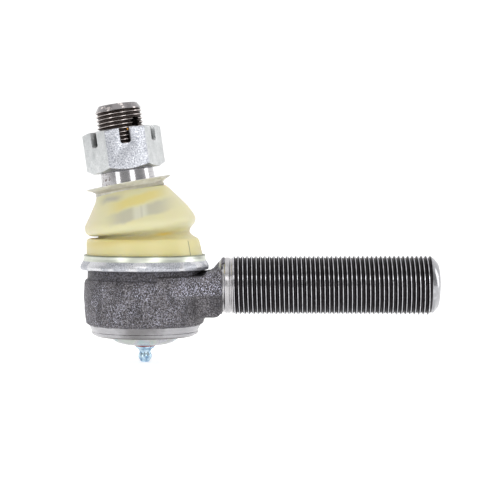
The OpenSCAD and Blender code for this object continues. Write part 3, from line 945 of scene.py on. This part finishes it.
# turns X to Y, Y to Z and Z to X
LYING = Matrix(((0, 0, 1, 0), (1, 0, 0, 0), (0, 1, 0, 0), (0, 0, 0, 1)))


def ball_stud():
    """The ball, neck and taper, as one turned solid up to the nut's seat."""
    first = math.acos(BALL_FLAT / BALL_R)
    last = math.pi - math.asin(STUD_NECK_R / BALL_R)
    ball = [(BALL_R * math.sin(a), -BALL_R * math.cos(a)) for a in np.linspace(first, last, 40)]
    low, high = TAPER_START, TAPER_END
    neck = [
        (STUD_NECK_R, -5.2), (10.0, -4.1), (10.8, -3.0), (12.1, -1.7), (13.2, -0.9),
        (taper_r(low) - 0.1, -0.3),
    ]
    outline = [
        (0, -BALL_FLAT), *ball, (STUD_NECK_R, 15.6), *raised(neck, low), (taper_r(low + 0.5), low + 0.5),
        (taper_r(high) - 0.02, high - 0.3), (taper_r(high) - 0.3, high), (0, high),
    ]
    return revolve("ball_stud_body", outline, ALONG_STUD, segments=192, closed=False)


def stud_thread():
    """The 7/8-14 thread with its chamfered tip and the cotter pin hole."""
    chamfer_s = STUD_TIP - 3.1

    def envelope(x):
        return STUD_R - np.clip((x - chamfer_s) * 0.62, 0, None), np.clip((chamfer_s + 0.7 - x) / 1.2, 0, 1)

    rounding = [(-0.1, STUD_R - 1.85), (0, STUD_R - 2.05), (-0.05, 3.6), (-0.1, 0.9)]
    stations = [(STUD_TIP + x, r) for x, r in rounding]
    start, end = TAPER_END - 0.9, STUD_TIP - 0.6
    piece = threaded_bar(
        "ball_stud_thread", ALONG_STUD, STUD_PITCH, STUD_R, start, end, envelope, stations, 96
    )
    across = ALONG_STUD @ Matrix.Translation((0, 0, COTTER_AT)) @ Matrix.Rotation(COTTER_TURN, 4, "Z")
    across = across @ Matrix.Rotation(math.pi / 2, 4, "Y")
    outline = [(0, -17), (COTTER_R, -17), (COTTER_R, 17), (0, 17)]
    cut(piece, revolve("cotter_cutter", outline, across, segments=40, closed=False))
    return piece


def slotted_nut():
    """A hexagon with its corners turned off, six slots on its flats and a threaded bore."""
    piece = prism("slotted_hex_nut", hexagon(NUT_AF), 0, NUT_H)
    clear_r = NUT_AF / 2 / math.cos(math.pi / 6) + 0.3
    cone = [
        (0, -0.001), (NUT_AF / 2 - 0.4, -0.001), (clear_r, 1.9), (clear_r, NUT_H - 1.0),
        (NUT_AF / 2 + 0.3, NUT_H + 0.001), (0, NUT_H + 0.001),
    ]
    cut(piece, revolve("nut_chamfers", cone, segments=144, closed=False), "INTERSECT")
    half, floor, top = NUT_SLOT_W / 2, NUT_H - NUT_SLOT_DEPTH, NUT_H + 2
    corner = NUT_SLOT_CORNER
    slot = filleted([(half, top), (-half, top), (-half, floor, corner), (half, floor, corner)])
    for k in range(3):
        turn = Matrix.Rotation(math.pi / 6 + math.pi / 3 * k, 4, "Z")
        cut(piece, prism("slot_cutter", slot, -NUT_AF, NUT_AF, turn @ LYING))
    bevel(piece, 0.34, 3)
    mouth_r, root_r = STUD_R + 1.2, STUD_R - 1.2
    relief = [
        (0, -0.5), (mouth_r, -0.5), (root_r, 1.8), (root_r, NUT_H - 1.8), (mouth_r, NUT_H + 0.5),
        (0, NUT_H + 0.5),
    ]
    cut(piece, revolve("bore_cutter", relief, segments=96, closed=False))
    major_r = STUD_R + 0.14

    def envelope(x):
        return np.full_like(x, major_r), np.ones_like(x)

    start, end = TAPER_END - 1, TAPER_END + NUT_H + 1
    shift = Matrix.Translation((0, 0, -TAPER_END))
    cut(piece, threaded_bar("thread_cutter", shift, STUD_PITCH, major_r, start, end, envelope, [], 96))
    seat = Matrix.Translation((0, 0, TAPER_END + 0.02))
    move_mesh(piece.data, ALONG_STUD @ seat @ Matrix.Rotation(NUT_TURN, 4, "Z"))
    return piece


def paint_dot():
    """A small dab of paint in the mouth of the nut's front slot."""
    rings, around = 5, 20
    points = []
    for i in range(rings):
        share = (i + 1) / rings
        for k in range(around):
            a = 2 * math.pi * k / around
            wobble = 1 + 0.18 * math.sin(3 * a + 1) + 0.1 * math.sin(5 * a)
            u, v = 0.36 * share * wobble * math.cos(a), 0.5 * share * wobble * math.sin(a)
            points.append((u, -(STUD_R + 0.5) + 0.3 * share**2 + u * u / 2 / STUD_R, v))
    points += [(0, -(STUD_R + 0.52), 0), (0, -(STUD_R + 0.12), 0)]
    faces = grid_faces(rings, around, False)
    for first, middle in ((0, rings * around), ((rings - 1) * around, rings * around + 1)):
        faces += [[first + k, first + (k + 1) % around, middle] for k in range(around)]
    place = ALONG_STUD @ Matrix.Translation((0, 0, PAINT_AT)) @ Matrix.Rotation(PAINT_TURN, 4, "Z")
    return make_piece("paint_dot", points, faces, place, 60)


# ---------------------------------------------------------------- boot, its ring and its top seal
BOOT_WALL = 1.6
# the heights, handed on with each part of it, between which it is meant to bend, the upper ones up its own leaning
# axis; nothing here bends it
SLEEVE_BENDS = (19.4, 26.9)
BELLOWS_BENDS = (28.0, 51.0)
BOOT_LEAN = math.radians(4.5)

# the boot's outer face, ring by ring: (left x, left z, right x, right z)
LOWER_BOOT = [
    (-27.6, 14.64, 27.6, 14.64), (-27.6, 17.52, 27.6, 17.52), (-27.54, 20.4, 27.3, 20.4),
    (-27.54, 23.28, 26.7, 23.28), (-27.54, 25.68, 26.1, 25.8), (-27.24, 27.12, 25.62, 27.24),
    (-26.52, 27.78, 25.08, 27.96), (-24.72, 27.96, 23.88, 28.68), (-23.16, 28.02, 22.56, 29.52),
    (-22.2, 28.2, 21.6, 30.48), (-21.84, 28.5, 21.3, 31.32),
]
UPPER_BOOT = [
    LOWER_BOOT[-1],
    (-22.32, 28.74, 21.54, 32.4), (-23.76, 28.74, 22.2, 33.48), (-25.8, 28.92, 23.16, 34.68),
    (-27.48, 29.88, 23.82, 35.88), (-28.2, 31.56, 24.06, 37.2), (-28.2, 33.24, 23.7, 38.64),
    (-27.48, 35.04, 22.68, 40.32), (-25.92, 38.4, 20.28, 43.44), (-24.6, 41.52, 17.4, 46.32),
    (-23.4, 44.4, 14.28, 49.32), (-22.8, 47.04, 11.52, 51.84), (-22.5, 48.36, 9.96, 53.16),
]


def boot_part(name, rings, first_wall, first_share):
    """A sleeve through tilted rings, whose wall is first_wall thick over the first share of it."""
    outer = spline(rings, 4 * len(rings) - 3)
    count, around = len(outer), 128
    angle = np.linspace(0, 2 * math.pi, around, endpoint=False)

    def loop(row, inset, lower):
        """The ring of points that a row of numbers stands for, made smaller by inset and moved down."""
        left, right = row[:2], row[2:]
        middle, arm = (left + right) / 2, (right - left) / 2
        reach = np.linalg.norm(arm)
        arm = arm / reach
        middle = middle - np.array([-arm[1], arm[0]]) * lower
        reach = reach - inset
        x = middle[0] + reach * np.cos(angle) * arm[0]
        z = middle[1] + reach * np.cos(angle) * arm[1]
        return np.stack([x, reach * np.sin(angle), z], -1)

    slope = np.gradient((outer[:, 2] - outer[:, 0]) / 2)
    rise = np.gradient((outer[:, 1] + outer[:, 3]) / 2)
    length = np.maximum(np.hypot(slope, rise), 1e-6)
    wall = np.where(np.linspace(0, 1, count) < first_share, first_wall, BOOT_WALL)
    rows = [loop(row, 0, 0) for row in outer]
    for k in range(count - 1, -1, -1):
        inset = wall[k] * rise[k] / length[k]
        lower = wall[k] * -slope[k] / length[k] if 0 < k < count - 1 else 0
        rows.append(loop(outer[k], max(inset, 0.5 * wall[k]), lower))
    faces = grid_faces(len(rows), around, True)
    return make_piece(name, np.array(rows).reshape(-1, 3), faces, sharp_deg=60)


def top_seal():
    """The neck that grips the stud's taper, and the lip that flares over it."""
    low = 50.75
    outline = [
        (taper_r(low) + 0.1, 0), (15.8, -0.2), (16.35, 0.1), (16.4, 0.8), (16.1, 1.3), (16.4, 1.8),
        (17.5, 2.5), (18.7, 3.1), (19.8, 3.5), (20.05, 3.75), (19.9, 3.95), (19.3, 3.9), (17.9, 3.6),
        (16.4, 3.4), (15.1, 3.5), (14.1, 3.9), (taper_r(low + 4.0) + 0.1, 3.9),
    ]
    pivot = Vector((0, 0, 54.5))
    sway = Matrix.Rotation(math.radians(-2.6), 4, "Y")
    place = ALONG_STUD @ Matrix.Translation(pivot) @ sway @ Matrix.Translation(-pivot)
    return revolve("top_seal_lip", raised(outline, low), place, sharp_deg=55)


def retaining_ring():
    """The stepped ring that holds the boot: a flange below, and a band round the boot above."""
    hole_r = BOSS_R + 0.05
    outline = [
        (hole_r, 0), (29.4, 0, 0.25), (30.3, 0.4, 0.5), (RING_R, 1.55, 0.5), (30.1, 2.75, 0.7),
        (29.0, 4.45, 0.6), (28.75, 5.5, 0.6), (28.75, 7.18, 0.25), (27.75, 7.18, 0.25), (27.75, 5.3, 0.4),
        (28.1, 4.0, 0.4), (29.45, 2.05, 0.4), (29.4, 1.0, 0.2), (hole_r, 1.0),
    ]
    return revolve("retaining_ring", filleted(raised(outline, RING_LOW[2])), segments=192)


# ---------------------------------------------------------------- cap, washer and grease fitting
DOME_BOTTOM_Z = -22.6
DOME_R = 16.55
CAP_WALL = 2.05
WASHER_T = 0.7
WASHER_R = 5.0
WASHER_HOLE_R = 3.25
FITTING_SEAT_Z = DOME_BOTTOM_Z - WASHER_T
FITTING_TIP_Z = FITTING_SEAT_Z - 7.5
FITTING_THREAD_R = 3.175
FITTING_HEX_AF = 7.94
FITTING_HEX_H = 1.5
FITTING_HEX_TURN = math.radians(10)
FITTING_STEM_H = 5.4
FITTING_MOUTH_R = 0.9
FITTING_BORE_R = 1.7


def end_cap():
    """The pressed cap: a flange held under the rim, and a shallow dome below it."""
    hole_r = FITTING_THREAD_R + 0.05
    dome = [
        (5.5, DOME_BOTTOM_Z), (8.6, -22.48), (11.2, -22.05), (13.2, -21.4), (14.8, -20.5), (15.9, -19.5),
        (16.4, -18.7), (DOME_R, -17.8),
    ]
    inner = [(r - 1.0 if r > 6 else r, z + CAP_WALL) for r, z in dome[:-1]]
    outline = [
        (hole_r, DOME_BOTTOM_Z), *dome, (DOME_R, CAP_FLANGE_Z), (CAP_FLANGE_R, CAP_FLANGE_Z, 0.2),
        (CAP_FLANGE_R, CAP_SEAT_Z, 0.2), (15.8, CAP_SEAT_Z), *inner[::-1],
        (hole_r, DOME_BOTTOM_Z + CAP_WALL),
    ]
    return revolve("end_cap_dome", filleted(outline))


def fitting_washer():
    low, high = FITTING_SEAT_Z, DOME_BOTTOM_Z
    outline = [(WASHER_HOLE_R, low), (WASHER_R, low, 0.2), (WASHER_R, high, 0.2), (WASHER_HOLE_R, high)]
    return revolve("washer_under_fitting", filleted(outline, 3), segments=96)


def grease_fitting():
    """A nipple with a hexagon, a waist, a head and an open mouth that its check ball closes."""
    seat, tip = FITTING_SEAT_Z, FITTING_TIP_Z
    low = seat - FITTING_HEX_H
    piece = prism("grease_nipple", hexagon(FITTING_HEX_AF, FITTING_HEX_TURN), low, seat)
    clear_r = FITTING_HEX_AF / 2 / math.cos(math.pi / 6) + 0.1
    under, over = low - 0.001, seat + 0.001
    cone = [(0, under), (3.3, under), (clear_r, seat - 0.4), (clear_r, over), (0, over)]
    cut(piece, revolve("hexagon_chamfer", cone, segments=96, closed=False), "INTERSECT")
    bevel(piece, 0.12, 2)
    head = [
        (3.3, 0.3), (3.25, -0.12), (2.9, -0.5), (2.68, -1.0), (2.72, -1.5), (3.05, -2.2), (3.24, -2.8),
        (3.25, -3.5), (3.1, -4.2), (2.6, -5.0),
    ]
    top = seat + FITTING_STEM_H
    stem = [
        (0, top), (FITTING_THREAD_R, top), (FITTING_THREAD_R, seat - 0.2), *raised(head, low),
        (2.1, tip + 0.14), (1.8, tip), (0, tip),
    ]
    cut(piece, revolve("nipple_stem", stem, segments=96, closed=False), "UNION")
    bore_top = seat + 2.8
    mouth = [
        (0, tip - 1), (1.25, tip - 1), (FITTING_MOUTH_R, tip + 0.4), (FITTING_BORE_R, tip + 0.52),
        (FITTING_BORE_R, bore_top), (FITTING_MOUTH_R, bore_top + 0.1), (FITTING_MOUTH_R, seat + 7),
        (0, seat + 7),
    ]
    cut(piece, revolve("mouth_cutter", mouth, segments=64, closed=False))
    return piece


# ---------------------------------------------------------------- putting it together
def build_socket():
    dress(socket_forging(), "socket", "forged_steel", forged_steel(), "housing")
    dress(socket_shoulder(), "socket", "forged_steel", turned_steel_painted_shade())
    dress(socket_rim(), "socket", "forged_steel", rim_steel())
    dress(shank_collar(), "socket", "forged_steel", collar_steel())
    steel = threaded_steel(
        "shank_thread_steel", crest=(0.80, 0.80, 0.84), groove=(0.022, 0.020, 0.022),
        bright_r=SHANK_R - 0.08, dark_r=SHANK_R - 0.26, along=along_shank_coordinates,
        end=THREAD_END_X, end_tone=(0.35, 0.35, 0.365), spots=0.15, roughness=0.2,
    )
    dress(shank_thread(), "socket", "forged_steel", steel)
    dress(retaining_ring(), "socket", "zinc_ring", ring_zinc(), "boot_retaining_ring")
    dress(end_cap(), "socket", "zinc_cap", cap_zinc(), "end_cap")
    red = plain_stuff("washer_red", (0.30, 0.035, 0.03), 0.0, 0.45, 0.8, 0.03)
    dress(fitting_washer(), "socket", "washer_red", red, "fitting_washer")
    dress(grease_fitting(), "socket", "zinc_blue", blue_zinc(), "grease_fitting")


def build_stud():
    dress(ball_stud(), "stud", "stud_steel", stud_taper_steel(), "ball_stud")
    brown = threaded_steel(
        "stud_thread_steel", crest=(0.68, 0.62, 0.60), groove=(0.042, 0.033, 0.030),
        bright_r=STUD_R - 0.12, dark_r=STUD_R - 0.62, along=along_stud_coordinates,
        end=STUD_TIP - 3.2, end_tone=(0.27, 0.255, 0.26), spots=1.0, roughness=0.22,
    )
    dress(stud_thread(), "stud", "stud_steel", brown)
    orange = plain_stuff("orange_paint", (0.85, 0.36, 0.03), 0.0, 0.3, 0.6, 0.02)
    dress(paint_dot(), "nut", "zinc_nut", orange)
    dress(slotted_nut(), "nut", "zinc_nut", nut_zinc(), "slotted_nut")


def build_boot():
    yellow = boot_polyurethane()
    low, high = (Vector((0, 0, z)) * MM for z in SLEEVE_BENDS)
    sleeve = boot_part("boot_lower_sleeve", LOWER_BOOT, first_wall=0.9, first_share=0.08)
    dress(sleeve, ("socket", "boot", low, high), "boot_polyurethane", yellow, "dust_boot")
    up = Vector((-math.sin(BOOT_LEAN), 0, math.cos(BOOT_LEAN)))
    low, high = (up * s * MM for s in BELLOWS_BENDS)
    bellows = boot_part("boot_upper_bellows", UPPER_BOOT, first_wall=1.0, first_share=0.4)
    dress(bellows, ("boot", "top_seal", low, high), "boot_polyurethane", yellow)
    dress(top_seal(), "top_seal", "lip_polyurethane", lip_polyurethane(), "boot_top_seal")


def build_inside():
    """The springs get smooth wire; the bearings, seal and check ball keep their CAD shape."""
    steel = plain_stuff("spring_steel", (0.30, 0.30, 0.32), 1.0, 0.3, 0.6, 0.02)
    low, high = box_mm("preload_spring")
    spring = coil("preload_coil", low[2], high[2], 10.6, 1.9, 1.1, 48, 16)
    ends = (0, 0, low[2] * MM), (0, 0, high[2] * MM)
    dress(spring, ("socket", "pressure_bearing", *ends), "spring_steel", steel, "preload_spring")
    low, high = box_mm("fitting_check_spring")
    spring = coil("check_coil", low[2], high[2], 1.2, 6, 0.18, 32, 10)
    ends = (0, 0, high[2] * MM), (0, 0, low[2] * MM)
    dress(spring, ("socket", "check_ball", *ends), "spring_steel", steel, "fitting_check_spring")
    polymer = plain_stuff("bearing_polymer", (0.80, 0.76, 0.64), 0.0, 0.38, 1.2, 0.03)
    rubber = plain_stuff("seal_rubber", (0.03, 0.03, 0.03), 0.0, 0.6, 0.5, 0.02)
    polished = plain_stuff("check_ball_steel", (0.62, 0.62, 0.64), 1.0, 0.12, 0.8, 0.005)
    bearings = {"upper_bearing": polymer, "lower_bearing": polymer}
    kept = {**bearings, "cap_seal": rubber, "fitting_check_ball": polished}
    for node, material in kept.items():
        mesh = frame["nodes"][node].data
        mesh.materials.clear()
        mesh.materials.append(material)


# ---------------------------------------------------------------- floor, light and camera
FLOOR_Z = FITTING_TIP_Z - 0.15
FLOOR_HALF_M = 3.0
# upright strip lights in front: (name, degrees to the right of the front, size, watts)
STRIPS = [
    ("strip_left", -38, (260, 700), 1.6),
    ("strip_right", 25, (300, 700), 1.8),
    ("strip_far_right", 98, (260, 600), 1.5),
]
STRIP_AWAY = 900
STRIP_Z = 180


def look_at(holder, where, target):
    holder.location = where
    holder.rotation_euler = (target - where).to_track_quat("-Z", "Y").to_euler()


def light(name, where_mm, size_mm, power):
    lamp = bpy.data.lights.new(name, "AREA")
    lamp.shape = "RECTANGLE"
    lamp.size, lamp.size_y = size_mm[0] * MM, size_mm[1] * MM
    lamp.energy = power
    look_at(add_object(name, lamp), Vector(where_mm) * MM, Vector((30, 0, 15)) * MM)


def white_floor():
    mesh = bpy.data.meshes.new("floor")
    half = FLOOR_HALF_M
    corners = [(-half, -half, 0), (half, -half, 0), (half, half, 0), (-half, half, 0)]
    mesh.from_pydata(corners, [], [(0, 1, 2, 3)])
    g = new_material("floor_white")
    white = g.mix(g.span(g.noise(60, 2, 0.5), 0.3, 0.7), (0.86, 0.86, 0.86), (0.88, 0.88, 0.88))
    mesh.materials.append(g.finish(white, 0.0, 0.9, Emission_Color=white, Emission_Strength=0.6))
    floor = add_object("floor", mesh)
    floor.location = (0, 0, FLOOR_Z * MM)


def white_world():
    """White to the camera, and for its light brighter at the back than at the front."""
    g = Graph(bpy.data.worlds.new("studio"))
    split = g.add("ShaderNodeSeparateXYZ", {0: g.add("ShaderNodeTexCoord").outputs["Generated"]})
    to_back = g.span(split.outputs["Y"], -0.5, 0.5, 0.42, 1.15)
    to_camera = g.add("ShaderNodeLightPath").outputs["Is Camera Ray"]
    strength = g.math("MAXIMUM", to_camera, to_back)
    sky = g.add("ShaderNodeBackground", {"Color": (1, 1, 1, 1), "Strength": strength})
    g.add("ShaderNodeOutputWorld", {"Surface": sky.outputs[0]})
    bpy.context.scene.world = g.owner


def studio():
    white_floor()
    white_world()
    for name, azimuth_deg, size_mm, power in STRIPS:
        a = math.radians(azimuth_deg)
        light(name, (STRIP_AWAY * math.sin(a), -STRIP_AWAY * math.cos(a), STRIP_Z), size_mm, power)
    light("front_high", (60, -760, 500), (500, 260), 0.8)
    light("overhead", (0, -300, 900), (900, 500), 1.0)
    bpy.context.scene.view_settings.view_transform = "Standard"


def camera():
    target = Vector((49.9, 0, 22.3)) * MM
    azimuth, elevation, distance = math.radians(0.85), math.radians(2.1), 708 * MM
    level = math.cos(elevation)
    back = Vector((math.sin(azimuth) * level, -math.cos(azimuth) * level, math.sin(elevation)))
    lens = bpy.data.cameras.new("camera")
    lens.sensor_width = 36
    lens.angle = math.radians(19.0)
    lens.clip_start, lens.clip_end = 10 * MM, 20000 * MM
    holder = add_object("camera", lens)
    look_at(holder, target + back * distance, target)
    bpy.context.scene.camera = holder


camera()
studio()
build_socket()
build_stud()
build_boot()
build_inside()
